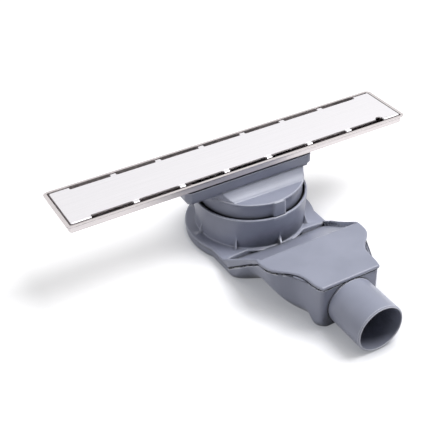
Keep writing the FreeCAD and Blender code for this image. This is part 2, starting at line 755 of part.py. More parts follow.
def make_seal_cup():
    """Cup that holds the water seal, hung under the funnel by an arm at each end."""
    length, width, wall = size.seal_cup_length, size.seal_cup_width, size.lift_wall
    outline = oblong(length, width, size.seal_cup_corner)
    outside = prism("CupOutside", "XY", [outline], size.seal_cup_depth, size.seal_cup_base)
    hole = oblong(length - wall * 2, width - wall * 2, size.seal_cup_corner - wall)
    inside = prism("CupInside", "XY", [hole], size.seal_cup_depth, size.seal_cup_base + wall)
    bowl = cut("Bowl", outside, inside)
    middle = size.seal_cup_base + size.seal_cup_depth / 2
    arms = []
    for side, name in ((1, "ArmRight"), (-1, "ArmLeft")):
        x = length / 2 - wall if side > 0 else -(length / 2)
        corner = (x, -(size.arm_width / 2), middle)
        arms.append(block(name, corner, (wall, size.arm_width, flange_base - middle)))
    return fuse("SealCup", [bowl] + arms)


def strainer_circles():
    """Return the strainer's holes, clear of the handle's feet."""
    circles = []
    for i in range(-5, 6):
        for j in (-1.5, -0.5, 0.5, 1.5):
            circles.append(((size.strainer_pitch * i, size.strainer_pitch * j), size.strainer_hole))
    return circles


def make_strainer():
    """Perforated plate on the well's ledge, with a handle to lift it."""
    length = size.shaft_length + size.strainer_lap * 2
    outline = oblong(length, size.well_width - size.fit * 2, size.well_corner)
    thickness, bar = size.strainer_thickness, size.handle_bar
    plate = prism("StrainerPlate", "XY", [outline], thickness, ledge_height, strainer_circles())
    base = ledge_height + thickness
    half = size.handle_length / 2
    inner = half - bar
    top = base + size.handle_height
    arch = [
        (-half, base), (-inner, base), (-inner, top - bar, bar / 2),
        (inner, top - bar, bar / 2), (inner, base), (half, base),
        (half, top, bar), (-half, top, bar),
    ]
    handle = prism("StrainerHandle", "XZ", [arch], bar, -(bar / 2))
    return fuse("Strainer", [plate, handle])


# Trap body

def stations():
    """Return reach, half width and lower corner radius of each hull section."""
    straight = [
        (ZERO, size.neck_half_width, size.neck_round),
        (throat_reach, size.throat_half_width, size.throat_round),
    ]
    curved = [
        straight[-1],
        (heel_reach, size.heel_half_width, size.heel_round),
        (rise_reach, size.rise_half_width, size.rise_round),
        (arch_reach, size.arch_half_width, size.arch_round),
        (shoulder_reach, size.shoulder_half_width, size.shoulder_round),
        (turn_reach, size.turn_half_width, size.turn_round),
        (hip_reach, size.hip_half_width, size.hip_round),
        (waist_reach, size.waist_half_width, size.waist_round),
        (mouth_reach, size.mouth_half_width, size.mouth_round),
        (front_reach, size.front_half_width, size.front_round),
    ]
    return straight, curved


def hull_section(name, reach, half, corner, grow):
    """Draw one upright section of the hull."""
    side = half + grow
    low = -grow
    rounding = corner + grow
    loop = [(-side, size.hull_top), (-side, low, rounding), (side, low, rounding), (side, size.hull_top)]
    return free_sketch(name, "XZ", [loop], (), -reach)


def hull(name, grow):
    """Loft the hull through its sections: straight sides under the cup, a double curve on the box."""
    straight, curved = stations()
    runs = []
    for part, rows, ruled in (("Neck", straight, True), ("Box", curved, False)):
        sections = []
        for i, (reach, half, corner) in enumerate(rows, 1):
            if part == "Box" and i == len(rows):
                reach = reach + grow
            sections.append(hull_section(f"{name}{part}{i}", reach, half, corner, grow))
        run = doc.addObject("Part::Loft", f"{name}{part}")
        run.Sections = sections
        run.Solid = True
        run.Ruled = ruled
        runs.append(run)
    return fuse(name, runs)


def lid_point(reach, drop):
    """Return a point of the side view under the lid's sloped top."""
    return (-reach, size.crest_height + lid_slope.times(reach - size.crest_reach) - drop)


def side_prism(name, profile):
    """Pull a side view across the whole trap."""
    return prism(name, "YZ", [profile], size.pan_radius * 2 + beyond * 2, -(size.pan_radius + beyond))


def parting_points():
    """Return the parting line in the side view, from the back to the front."""
    rise_end = size.parting_front + size.parting_rise
    return [
        (size.pan_radius + beyond, size.parting_height),
        (-size.parting_front, size.parting_height),
        lid_point(rise_end, size.lip_height),
        lid_point(front_reach + beyond, size.lip_height),
    ]


def front_at(reach):
    """Return a test for the edges round the hull's front face, without the top one."""
    near = size.wall.value / 10
    top = size.hull_top.value - near
    return lambda edge: edge.BoundBox.YMax < near - reach.value and edge.BoundBox.ZMin < top


def round_plate(name, radius, base, *edge):
    """Turn a round plate from a height up to the hull's top; its lower edge may be rounded."""
    corner = (radius, base) + edge
    return turned(name, [(ZERO, base), corner, (radius, size.hull_top), (ZERO, size.hull_top)])


def make_lower_shell():
    """Pan, hull-shaped neck and box, and the outlet spigot, below the parting line."""
    radius = size.pan_radius - size.lip_overhang
    pan_out = round_plate("PanOutside", radius, ZERO, size.pan_edge)
    box = rounded("HullFront", hull("HullOutside", ZERO), size.box_corner, front_at(front_reach))
    outside = fuse("LowerOutside", [pan_out, box])
    pan_in = round_plate("PanInside", radius - size.wall, size.wall, size.pan_edge - size.wall / 2)
    inside = fuse("LowerInside", [pan_in, hull("HullInside", -size.wall)])
    below = parting_points() + [(-(front_reach + beyond), -beyond), (size.pan_radius + beyond, -beyond)]
    basin = common("LowerBasin", [outside, side_prism("BelowParting", below)])
    shell = cut("LowerOpen", basin, inside)
    end = front_reach + size.spigot_length
    pipe_length = size.spigot_length - size.root_width
    pipe = spigot_cylinder("SpigotOutside", size.spigot_radius, pipe_length, end)
    tip = doc.addObject("Part::Chamfer", "SpigotTip")
    doc.recompute()
    tip.Base = pipe
    tip.Edges = [(spigot_end_edge(pipe, end), size.spigot_chamfer.value, size.spigot_chamfer.value)]
    root_end = front_reach + size.root_width * 2
    root_length = size.root_width * 2 + size.wall / 2
    root = spigot_cylinder("SpigotRoot", size.spigot_radius - size.root_depth, root_length, root_end)
    bore_length = size.spigot_length + size.wall * 3
    bore = spigot_cylinder("SpigotBore", size.spigot_radius - size.spigot_wall, bore_length, end + size.wall)
    return cut("LowerShell", fuse("LowerWithSpigot", [shell, tip, root]), bore)


def spigot_cylinder(name, radius, length, end):
    """Lay a cylinder along the spigot's axis, from its end back towards the cup."""
    solid = doc.addObject("Part::Cylinder", name)
    solid.Placement = FreeCAD.Placement(FreeCAD.Vector(), FreeCAD.Rotation(FreeCAD.Vector(1, 0, 0), -90))
    solid.setExpression("Radius", radius.text)
    solid.setExpression("Height", length.text)
    solid.setExpression("Placement.Base.y", (-end).text)
    solid.setExpression("Placement.Base.z", size.spigot_height.text)
    return solid


def spigot_end_edge(pipe, end):
    """Return the number of the round edge at the spigot's open end."""
    for i, edge in enumerate(pipe.Shape.Edges, 1):
        if abs(edge.BoundBox.YMax + end.value) < size.wall.value / 10:
            return i
    raise RuntimeError("the spigot has no end edge")


def upright_front(reach):
    """Return a test for the two upright edges of the hull's front face."""
    near = size.wall.value / 10
    high = size.hull_top.value / 2
    return lambda edge: edge.BoundBox.YMax < near - reach.value and edge.BoundBox.ZLength > high


def top_height(reach):
    """Return the height of the upper shell's outer top at a distance in front of the cup's axis."""
    front, crest = size.platform_front.value, size.crest_reach.value
    low, high = size.platform_height.value, size.crest_height.value
    if reach < front:
        return low
    if reach < crest:
        return low + (high - low) * (reach - front) / (crest - front)
    return high + lid_slope.value * (reach - crest)


def on_upper_side(edge):
    """Accept the outer top edges: round the platform, up the flanges and round the lid."""
    near = size.wall.value / 4
    box = edge.BoundBox
    if box.YLength < near and box.XLength > near and box.YMin > near - front_reach.value:
        return False
    length = edge.LastParameter - edge.FirstParameter
    points = [edge.valueAt(edge.FirstParameter + length * share) for share in (0, 0.5, 1)]
    return all(abs(point.z - top_height(-point.y)) < near for point in points)


def make_platform_and_lid():
    """Upper shell without its cup: platform, ramp between side flanges, and the box's lid."""
    plate = round_plate("PlatformPlate", size.pan_radius, ZERO)
    grown = hull("HullGrown", size.lip_overhang)
    grown = rounded("LidCorners", grown, size.lid_corner, upright_front(front_reach + size.lip_overhang))
    outside = fuse("UpperOutside", [plate, grown])
    top = [
        lid_point(front_reach + beyond, ZERO),
        lid_point(size.crest_reach, ZERO) + (size.flange_bend,),
        (-size.platform_front, size.platform_height),
        (size.pan_radius + beyond, size.platform_height),
    ]
    slab = common("UpperSlab", [outside, side_prism("AboveParting", parting_points() + top)])
    slab = rounded("UpperEdge", slab, size.lid_edge, on_upper_side)
    front, foot = size.platform_front, size.platform_front + size.valley_inset
    crest, ramp_end = size.crest_reach, size.crest_height - size.ramp_drop
    trough = [
        (-front, size.platform_height), (-foot, size.valley_height), (-crest, ramp_end),
        lid_point(crest, ZERO) + (size.crest_edge,), lid_point(front_reach + beyond, -size.fit),
        (-(front_reach + beyond), size.hull_top), (-front, size.hull_top),
    ]
    trough_run = side_prism("TroughRun", trough)
    trough_cut = common("Trough", [trough_run, hull("HullFlange", -(size.wall + size.flange_lap))])
    wall, skin = size.wall, size.wall * 1.2
    back, end = size.pan_radius + beyond, front_reach + beyond
    ceiling, floor = size.platform_height - wall, size.valley_height - skin
    underside = [
        (-(front - wall), ceiling), (-(foot - wall), floor),
        (-foot, floor), (-(crest + wall), ramp_end - skin),
    ]
    cavity = [(back, -beyond), (back, ceiling)] + underside + [
        lid_point(crest + wall, skin), lid_point(end, skin), (-end, -beyond),
    ]
    pan_room = round_plate("PanRoom", size.pan_radius - size.lip_overhang - wall, -wall)
    room = fuse("UpperRoom", [pan_room, hull("HullRoom", -wall)])
    cavity_cut = common("UpperCavity", [room, side_prism("CavityRun", cavity)])
    open_slab = cut("UpperPlate", slab, fuse("UpperCuts", [trough_cut, cavity_cut]))
    under_lid = size.crest_height - size.lip_height / 2
    plate_side = trough[:3] + [(-crest, under_lid), (-(crest + wall), under_lid)] + underside[::-1]
    plate_side.append((-(front - wall), size.platform_height))
    ramp_plate = common("RampPlate", [side_prism("RampPlateRun", plate_side), hull("HullRamp", -wall)])
    return fuse("UpperOpen", [open_slab, ramp_plate])


def make_ribs():
    """Eight gussets between the cup and the platform."""
    foot_radius = size.bore_radius + size.cup_wall - size.cup_draft
    inner = foot_radius - size.wall / 2
    outer = foot_radius + size.rib_foot
    base, top = size.platform_height - size.wall / 2, size.platform_height + size.rib_height
    profile = [
        (inner, base), (foot_radius, base), (outer, size.platform_height),
        (foot_radius + size.wall / 4, top), (inner, top),
    ]
    sketch = free_sketch("RibProfile", "XZ", [profile])
    ribs = []
    for i in range(8):
        rib = doc.addObject("Part::Extrusion", f"Rib{i + 1}")
        rib.Base = sketch
        rib.DirMode = "Custom"
        rib.Dir = FreeCAD.Vector(0, 1, 0)
        rib.Solid = True
        rib.Symmetric = True
        rib.setExpression("LengthFwd", size.rib_thickness.text)
        turn = FreeCAD.Rotation(FreeCAD.Vector(0, 0, 1), 45 * i)
        rib.Placement = FreeCAD.Placement(FreeCAD.Vector(), turn)
        ribs.append(rib)
    return ribs


def make_upper_shell():
    """Cup with ribs on its pedestal, platform, ramp and lid in one moulding."""
    low = size.valley_height - size.wall * 1.2
    outer = size.bore_radius + size.cup_wall
    cup_profile = [
        (ZERO, low), (size.pedestal_radius, low),
        (size.pedestal_radius, size.platform_height, size.cup_foot),
        (outer - size.cup_draft, size.platform_height, size.cup_foot),
        (outer, size.rim_height, size.rim_edge), (ZERO, size.rim_height),
    ]
    cup = turned("CupOutsideWall", cup_profile)
    narrow = size.bore_radius - size.bore_taper
    straight_end = size.rim_height - size.bore_depth
    bevel, above = size.rim_chamfer, size.rim_height + size.rim_chamfer
    bore_profile = [
        (ZERO, -size.wall), (narrow, -size.wall), (narrow, straight_end - size.bore_taper * 2),
        (size.bore_radius, straight_end), (size.bore_radius, size.rim_height - bevel),
        (size.bore_radius + bevel * 2, above), (ZERO, above),
    ]
    bore = turned("CupBore", bore_profile)
    slot_depth = size.rim_height - (size.disc_top - size.key_drop) + size.fit * 2
    slot_width = size.key_width + size.fit * 2
    reach = key_reach + size.fit
    corner = (-(slot_width / 2), -reach, size.rim_height - slot_depth)
    slot_bar = block("KeySlotBar", corner, (slot_width, reach - narrow + size.wall, slot_depth + size.wall))
    slot = common("KeySlot", [slot_bar, cylinder("KeySlotLimit", reach, size.rim_height * 2, ZERO)])
    solid = fuse("UpperSolid", [make_platform_and_lid(), cup] + make_ribs())
    return cut("UpperShell", solid, fuse("UpperBores", [bore, slot]))


NODES = {
    "cover_grate": make_cover(),
    "cover_buffers": make_buffers(),
    "channel_tray": make_tray(),
    "collar_gasket": make_gasket(),
    "clamp_frame": make_clamp_frame(),
    "clamp_screws": make_screws(),
    "outlet_adapter": make_adapter(),
    "skirt_o_ring": make_o_ring(),
    "funnel_seal": make_funnel_seal(),
    "dip_funnel": make_funnel(),
    "seal_cup": make_seal_cup(),
    "hair_strainer": make_strainer(),
    "trap_upper_shell": make_upper_shell(),
    "trap_lower_shell": make_lower_shell(),
}


def check_document():
    """Stop if an object failed, or if a piece has no valid solid."""
    for item in doc.Objects:
        if "Invalid" in item.State or "Error" in item.State:
            raise RuntimeError(f"{item.Name} failed: {item.State}")
    for name, item in NODES.items():
        if item.Shape.isNull() or not item.Shape.isValid() or not item.Shape.Solids:
            raise RuntimeError(f"{name} has no valid solid")


def write_nodes():
    """Write each piece to its own file."""
    os.makedirs("parts", exist_ok=True)
    for name, item in NODES.items():
        item.Label = name
        item.Shape.exportStep(os.path.join("parts", name + ".step"))
        box = item.Shape.BoundBox
        span = f"{box.XLength:.1f} x {box.YLength:.1f} x {box.ZLength:.1f} mm"
        print(f"{name}: {len(item.Shape.Solids)} solids, {item.Shape.Volume:.0f} mm3, {span}")


doc.recompute()
check_document()
write_nodes()
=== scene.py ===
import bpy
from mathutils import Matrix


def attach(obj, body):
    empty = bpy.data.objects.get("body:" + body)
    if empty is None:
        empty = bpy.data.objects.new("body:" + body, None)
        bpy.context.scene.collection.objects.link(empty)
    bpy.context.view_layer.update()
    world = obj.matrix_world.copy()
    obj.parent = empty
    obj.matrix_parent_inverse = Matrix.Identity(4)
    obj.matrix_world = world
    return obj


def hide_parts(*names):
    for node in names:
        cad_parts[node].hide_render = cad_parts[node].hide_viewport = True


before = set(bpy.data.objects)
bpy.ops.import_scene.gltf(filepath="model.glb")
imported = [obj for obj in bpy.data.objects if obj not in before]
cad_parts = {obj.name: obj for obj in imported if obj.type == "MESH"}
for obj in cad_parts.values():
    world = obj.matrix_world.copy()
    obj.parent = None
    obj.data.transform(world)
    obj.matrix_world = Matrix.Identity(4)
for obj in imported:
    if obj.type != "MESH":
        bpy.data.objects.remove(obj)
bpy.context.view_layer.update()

import logging
import math
from dataclasses import dataclass
from enum import Enum
from typing import Any, Optional, Sequence

import bmesh
import bpy
from mathutils import Matrix, Vector

LOG = logging.getLogger("shower_drain")
PHOTO_SIDE_PX = 448
BODY = "root"
# A Mix node's colour sockets go by number, because each of its data types has sockets named
# A and B.
MIX_A, MIX_B, MIX_RESULT = 6, 7, 2
# Corners of the loose triangles closer than this are one corner.
WELD_MM = 0.002
# Neighbouring triangles within this angle are one flat face.
FLAT_DEG = 0.4
# Edges sharper than this stay sharp in the light.
SMOOTH_DEG = 32.0
# A parting face lies at least this level, and the wall beside it stands at least this upright.
LEVEL_COS = 0.6
WALL_COS = 0.5
# The pan ends, the box has its middle and the spigot starts at these places along Y.
PAN_FRONT_MM = -60.0
BOX_MIDDLE_MM = -100.0
BOX_FRONT_MM = -179.0


class Looks(Enum):
    """Which way a shell's parting face looks."""

    UP = 1.0
    DOWN = -1.0


def mm(value: float) -> float:
    """Return millimetres as metres."""
    return value / 1000.0


def linear(hex_colour: str) -> tuple[float, float, float, float]:
    """Turn an sRGB hex colour into linear RGBA.

    Args:
        hex_colour: Six hex digits, with or without a leading hash.

    Returns:
        The linear colour with an alpha of 1.
    """
    digits = hex_colour.lstrip("#")
    channels = []
    for start in (0, 2, 4):
        encoded = int(digits[start:start + 2], 16) / 255.0
        low = encoded / 12.92
        high = ((encoded + 0.055) / 1.055) ** 2.4
        channels.append(low if encoded <= 0.04045 else high)
    return (channels[0], channels[1], channels[2], 1.0)


def add_node(
    tree: bpy.types.NodeTree,
    kind: str,
    settings: Optional[dict[str, Any]] = None,
    sockets: Optional[dict[str, Any]] = None,
) -> bpy.types.Node:
    """Add a node, set it up and link it.

    Args:
        tree: The node tree to add to.
        kind: The node's type name.
        settings: Properties of the node itself.
        sockets: Input socket name to a value, or to an output socket to link from.

    Returns:
        The new node.
    """
    node = tree.nodes.new(kind)
    for name, value in (settings or {}).items():
        setattr(node, name, value)
    for name, value in (sockets or {}).items():
        socket = node.inputs[name]
        if isinstance(value, bpy.types.NodeSocket):
            tree.links.new(value, socket)
        else:
            socket.default_value = value
    return node


def blank_material(name: str) -> tuple[bpy.types.Material, bpy.types.NodeTree]:
    """Make an empty node material.

    Args:
        name: The material's name.

    Returns:
        The material and its cleared node tree.
    """
    material = bpy.data.materials.new(name)
    material.use_nodes = True
    material.node_tree.nodes.clear()
    return material, material.node_tree


def set_ramp(ramp: bpy.types.ColorRamp, stops: Sequence[tuple[float, str]]) -> None:
    """Give a colour ramp its stops.

    Args:
        ramp: The ramp to change.
        stops: Position and sRGB hex colour of each stop, in order.
    """
    while len(ramp.elements) < len(stops):
        ramp.elements.new(0.5)
    for element, (position, colour) in zip(ramp.elements, stops):
        element.position = position
        element.color = linear(colour)


@dataclass(frozen=True)
class MouldedPlastic:
    """Injection-moulded polypropylene, through-coloured and satin.

    To the eye: an even blue-grey with a soft broad sheen, a very faint clouding where the melt
    flowed, and a fine spark-eroded grain that breaks up the highlights.
    """

    name: str
    colour: str
    cloud_colour: str
    roughness: float = 0.33
    cloud_mm: float = 38.0
    grain_mm: float = 0.9
    edge_mm: float = 0.6
    # Painted highlight: the band along each edge that is painted paler reaches this far.
    highlight_band_mm: float = 2.6
    # Painted shade: creases within this distance are painted darker, towards the colour below.
    crease_shade_mm: float = 3.0
    crease_shade_colour: str = "#40434F"
    # Painted shade: deep hollows within this distance are painted towards the colour below, nearly
    # black.
    hollow_shade_mm: float = 45.0
    hollow_shade_colour: str = "#1E1F26"
    # Painted highlight: broken edges are painted towards this paler colour, with this strength.
    edge_highlight_colour: str = "#F0F2FC"
    edge_light: float = 1.0
    grain_depth_mm: float = 0.05
    grain_strength: float = 0.12
    ior: float = 1.49

    def build(self) -> bpy.types.Material:
        """Return the material."""
        material, tree = blank_material(self.name)
        place = add_node(tree, "ShaderNodeTexCoord")
        clouds = add_node(
            tree, "ShaderNodeTexNoise", {"noise_dimensions": "3D"},
            {"Vector": place.outputs["Object"], "Scale": 1.0 / mm(self.cloud_mm), "Detail": 3.0},
        )
        tint = add_node(tree, "ShaderNodeValToRGB", None, {"Fac": clouds.outputs["Fac"]})
        set_ramp(tint.color_ramp, [(0.35, self.cloud_colour), (0.62, self.colour)])
        # Creases are painted darker: painted shade where little light reaches, so that the joints
        # between the mouldings read as lines.
        open_sky = add_node(
            tree, "ShaderNodeAmbientOcclusion", {"samples": 8}, {"Distance": mm(self.crease_shade_mm)},
        )
        painted_crease_shade = add_node(tree, "ShaderNodeValToRGB", None, {"Fac": open_sky.outputs["AO"]})
        set_ramp(painted_crease_shade.color_ramp, [(0.2, self.crease_shade_colour), (0.75, "#FFFFFF")])
        # Deep hollows such as the spigot's bore are painted nearly black: painted shade, as the
        # eye sees them.
        deep_sky = add_node(
            tree, "ShaderNodeAmbientOcclusion", {"samples": 6}, {"Distance": mm(self.hollow_shade_mm)},
        )
        painted_hollow_shade = add_node(tree, "ShaderNodeValToRGB", None, {"Fac": deep_sky.outputs["AO"]})
        set_ramp(painted_hollow_shade.color_ramp, [(0.22, self.hollow_shade_colour), (0.5, "#FFFFFF")])
        shade = add_node(
            tree, "ShaderNodeMix", {"data_type": "RGBA", "blend_type": "MULTIPLY"},
            {"Factor": 1.0, MIX_A: painted_crease_shade.outputs["Color"], MIX_B: painted_hollow_shade.outputs["Color"]},
        )
        body = add_node(
            tree, "ShaderNodeMix", {"data_type": "RGBA", "blend_type": "MULTIPLY"},
            {"Factor": 1.0, MIX_A: tint.outputs["Color"], MIX_B: shade.outputs[MIX_RESULT]},
        )
        # The mould's edges are broken, and each one is painted a thin, paler line: a painted
        # highlight where the rounding would catch the light.
        rounding = add_node(tree, "ShaderNodeBevel", {"samples": 6}, {"Radius": mm(self.edge_mm)})
        highlight_bevel = add_node(tree, "ShaderNodeBevel", {"samples": 8}, {"Radius": mm(self.highlight_band_mm)})
        face = add_node(tree, "ShaderNodeNewGeometry")
        turn = add_node(
            tree, "ShaderNodeVectorMath", {"operation": "DOT_PRODUCT"},
            {0: highlight_bevel.outputs["Normal"], 1: face.outputs["Normal"]},
        )
        edge = add_node(
            tree, "ShaderNodeMapRange", None,
            {
                "Value": turn.outputs["Value"], "From Min": 0.88, "From Max": 0.99,
                "To Min": self.edge_light, "To Max": 0.0,
            },
        )
        raised = add_node(
            tree, "ShaderNodeMapRange", None,
            {"Value": open_sky.outputs["AO"], "From Min": 0.5, "From Max": 0.75},
        )
        painted_edge_highlight = add_node(
            tree, "ShaderNodeMath", {"operation": "MULTIPLY"},
            {0: edge.outputs["Result"], 1: raised.outputs["Result"]},
        )
        skin = add_node(
            tree, "ShaderNodeMix", {"data_type": "RGBA"},
            {
                "Factor": painted_edge_highlight.outputs["Value"], MIX_A: body.outputs[MIX_RESULT],
                MIX_B: linear(self.edge_highlight_colour),
            },
        )
        # The real grain is about 0.05 mm; it is drawn coarser so that it shows in the render.
        grain = add_node(
            tree, "ShaderNodeTexNoise", None,
            {"Vector": place.outputs["Object"], "Scale": 1.0 / mm(self.grain_mm), "Detail": 2.0},
        )
        sheen = add_node(
            tree, "ShaderNodeMapRange", None,
            {
                "Value": grain.outputs["Fac"], "From Min": 0.3, "From Max": 0.7,
                "To Min": self.roughness - 0.05, "To Max": self.roughness + 0.07,
            },
        )
        bump = add_node(
            tree, "ShaderNodeBump", None,
            {
                "Strength": self.grain_strength, "Distance": mm(self.grain_depth_mm),
                "Height": grain.outputs["Fac"], "Normal": rounding.outputs["Normal"],
            },
        )
        shader = add_node(
            tree, "ShaderNodeBsdfPrincipled", None,
            {
                "Base Color": skin.outputs[MIX_RESULT], "Roughness": sheen.outputs["Result"],
                "IOR": self.ior, "Normal": bump.outputs["Normal"],
            },
        )
        add_node(tree, "ShaderNodeOutputMaterial", None, {"Surface": shader.outputs["BSDF"]})
        return material


@dataclass(frozen=True)
class BrushedStainless:
    """Stainless steel 304 sheet, brushed along the channel with a fine belt.

    To the eye: a pale, slightly warm grey that takes on the brightness around it, with faint
    straight hairlines along X.
    """

    name: str
    colour: str
    streak_colour: str
    roughness: float = 0.34
    line_mm: float = 0.6
    run_mm: float = 90.0
    # Painted shade: folds and the underside of the lip within this distance are painted darker,
    # towards the colour below.
    crease_shade_mm: float = 1.6
    crease_shade_colour: str = "#6E6C6E"
    line_depth_mm: float = 0.02
    line_strength: float = 0.1

    def build(self) -> bpy.types.Material:
        """Return the material."""
        material, tree = blank_material(self.name)
        place = add_node(tree, "ShaderNodeTexCoord")
        # Real hairlines are 0.05 to 0.1 mm apart; they are drawn wider apart so that they show.
        across = 1.0 / mm(self.line_mm)
        stretched = add_node(
            tree, "ShaderNodeMapping", None,
            {
                "Vector": place.outputs["Object"],
                "Scale": (1.0 / mm(self.run_mm), across, across),
            },
        )
        lines = add_node(
            tree, "ShaderNodeTexNoise", None,
            {"Vector": stretched.outputs["Vector"], "Scale": 1.0, "Detail": 3.0, "Roughness": 0.6},
        )
        tint = add_node(tree, "ShaderNodeValToRGB", None, {"Fac": lines.outputs["Fac"]})
        set_ramp(tint.color_ramp, [(0.3, self.streak_colour), (0.65, self.colour)])
        # Under a turned lip and in a fold the steel has little but itself to mirror, so its colour
        # is painted darker there: painted shade.
        open_sky = add_node(
            tree, "ShaderNodeAmbientOcclusion", {"samples": 8}, {"Distance": mm(self.crease_shade_mm)},
        )
        painted_fold_shade = add_node(tree, "ShaderNodeValToRGB", None, {"Fac": open_sky.outputs["AO"]})
        set_ramp(painted_fold_shade.color_ramp, [(0.3, self.crease_shade_colour), (0.85, "#FFFFFF")])
        skin = add_node(
            tree, "ShaderNodeMix", {"data_type": "RGBA", "blend_type": "MULTIPLY"},
            {"Factor": 1.0, MIX_A: tint.outputs["Color"], MIX_B: painted_fold_shade.outputs["Color"]},
        )
        matt = add_node(
            tree, "ShaderNodeMapRange", None,
            {
                "Value": lines.outputs["Fac"], "From Min": 0.3, "From Max": 0.7,
                "To Min": self.roughness + 0.06, "To Max": self.roughness - 0.04,
            },
        )
        bump = add_node(
            tree, "ShaderNodeBump", None,
            {
                "Strength": self.line_strength, "Distance": mm(self.line_depth_mm),
                "Height": lines.outputs["Fac"],
            },
        )
        shader = add_node(
            tree, "ShaderNodeBsdfPrincipled", None,
            {
                "Base Color": skin.outputs[MIX_RESULT], "Roughness": matt.outputs["Result"],
                "Metallic": 1.0, "Normal": bump.outputs["Normal"],
            },
        )
        add_node(tree, "ShaderNodeOutputMaterial", None, {"Surface": shader.outputs["BSDF"]})
        return material


@dataclass(frozen=True)
class MouldedRubber:
    """EPDM rubber, moulded and dusted with talc.

    To the eye: nearly black and matt, with a faint grey bloom in patches.
    """

    name: str
    colour: str
    bloom_colour: str
    bloom_mm: float = 6.0
    roughness: float = 0.78
    ior: float = 1.52

    def build(self) -> bpy.types.Material:
        """Return the material."""
        material, tree = blank_material(self.name)
        place = add_node(tree, "ShaderNodeTexCoord")
        bloom = add_node(
            tree, "ShaderNodeTexNoise", None,
            {"Vector": place.outputs["Object"], "Scale": 1.0 / mm(self.bloom_mm), "Detail": 4.0},
        )
        tint = add_node(tree, "ShaderNodeValToRGB", None, {"Fac": bloom.outputs["Fac"]})
        set_ramp(tint.color_ramp, [(0.45, self.colour), (0.8, self.bloom_colour)])
        bump = add_node(
            tree, "ShaderNodeBump", None,
            {"Strength": 0.2, "Distance": mm(0.05), "Height": bloom.outputs["Fac"]},
        )
        shader = add_node(
            tree, "ShaderNodeBsdfPrincipled", None,
            {
                "Base Color": tint.outputs["Color"], "Roughness": self.roughness,
                "IOR": self.ior, "Normal": bump.outputs["Normal"],
            },
        )
        add_node(tree, "ShaderNodeOutputMaterial", None, {"Surface": shader.outputs["BSDF"]})
        return material


Finish = MouldedPlastic | BrushedStainless | MouldedRubber

TRAP_PLASTIC = MouldedPlastic("blue_grey_polypropylene_moulded", "#A4A8BA", "#9B9FB1")
INSERT_PLASTIC = MouldedPlastic("pale_grey_polypropylene_moulded", "#B9BBC4", "#AEB1BC", 0.38)
COVER_STEEL = BrushedStainless("stainless_304_fine_brushed_cover", "#EAE8EB", "#E1DFE2", 0.40)
CHANNEL_STEEL = BrushedStainless("stainless_304_pressed_channel", "#D8D2D2", "#CAC4C4", 0.36)
SCREW_STEEL = BrushedStainless("stainless_a2_turned_screws", "#D8D6D6", "#B9B7B8", 0.25, 0.3, 3.0)
SEAL_RUBBER = MouldedRubber("epdm_black_moulded_seal", "#17171A", "#2C2C30")
BUFFER_RUBBER = MouldedRubber("epdm_black_moulded_buffer", "#1B1B1D", "#303034")


class Finishes:
    """Builds each finish once and hands it out."""

    def __init__(self) -> None:
        """Start with nothing built."""
        self._built: dict[str, bpy.types.Material] = {}

    def get(self, finish: Finish) -> bpy.types.Material:
        """Return the material of a finish.

        Args:
            finish: The finish to build or find.

        Returns:
            Its material.
        """
        if finish.name not in self._built:
            self._built[finish.name] = finish.build()
        return self._built[finish.name]


FINISHES = Finishes()


def dress(node: str, finish: Finish) -> None:
    """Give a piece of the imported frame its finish.

    Args:
        node: The node's name.
        finish: The finish for all its slots.
    """
    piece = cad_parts[node]
    material = FINISHES.get(finish)
    for place in piece.material_slots:
        place.material = material
    LOG.info("dressed %s in %s", node, finish.name)


def merged(node: str) -> bmesh.types.BMesh:
    """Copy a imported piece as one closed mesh.

    Args:
        node: The node's name.

    Returns:
        The copy.
    """
    mesh = bmesh.new()
    mesh.from_mesh(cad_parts[node].data)
    bmesh.ops.remove_doubles(mesh, verts=mesh.verts, dist=mm(WELD_MM))
    return mesh


def join_flats(mesh: bmesh.types.BMesh, side: Looks) -> None:
    """Join the triangles of flat faces that look up or down along the parting line.

    Args:
        mesh: The mesh to change.
        side: Which way the faces look.
    """
    level = {face for face in mesh.faces if face.normal.z * side.value > LEVEL_COS}
    # The list goes by the mesh's own order, so that each run gives the same faces, and from its
    # end, which leaves the most even parting line.
    edges = [edge for edge in mesh.edges if any(face in level for face in edge.link_faces)]
    edges.reverse()
    bmesh.ops.dissolve_limit(
        mesh, angle_limit=math.radians(FLAT_DEG), use_dissolve_boundaries=False,
        verts=[], edges=edges,
    )


def finish_piece(
    name: str, mesh: bmesh.types.BMesh, finish: Finish, replaced: str
) -> bpy.types.Object:
    """Turn a mesh into a dressed piece of the part.

    Args:
        name: The piece's name.
        mesh: Its shape, which is used up.
        finish: Its finish.
        replaced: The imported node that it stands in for.

    Returns:
        The piece.
    """
    data = bpy.data.meshes.new(name)
    mesh.to_mesh(data)
    mesh.free()
    data.shade_smooth()
    data.set_sharp_from_angle(angle=math.radians(SMOOTH_DEG))
    data.materials.append(FINISHES.get(finish))
    piece = bpy.data.objects.new(name, data)
    bpy.context.scene.collection.objects.link(piece)
    level = piece.modifiers.new("even_light", "WEIGHTED_NORMAL")
    level.keep_sharp = True
    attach(piece, BODY)
    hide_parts(replaced)
    LOG.info("built %s: %d faces", name, len(data.polygons))
    return piece


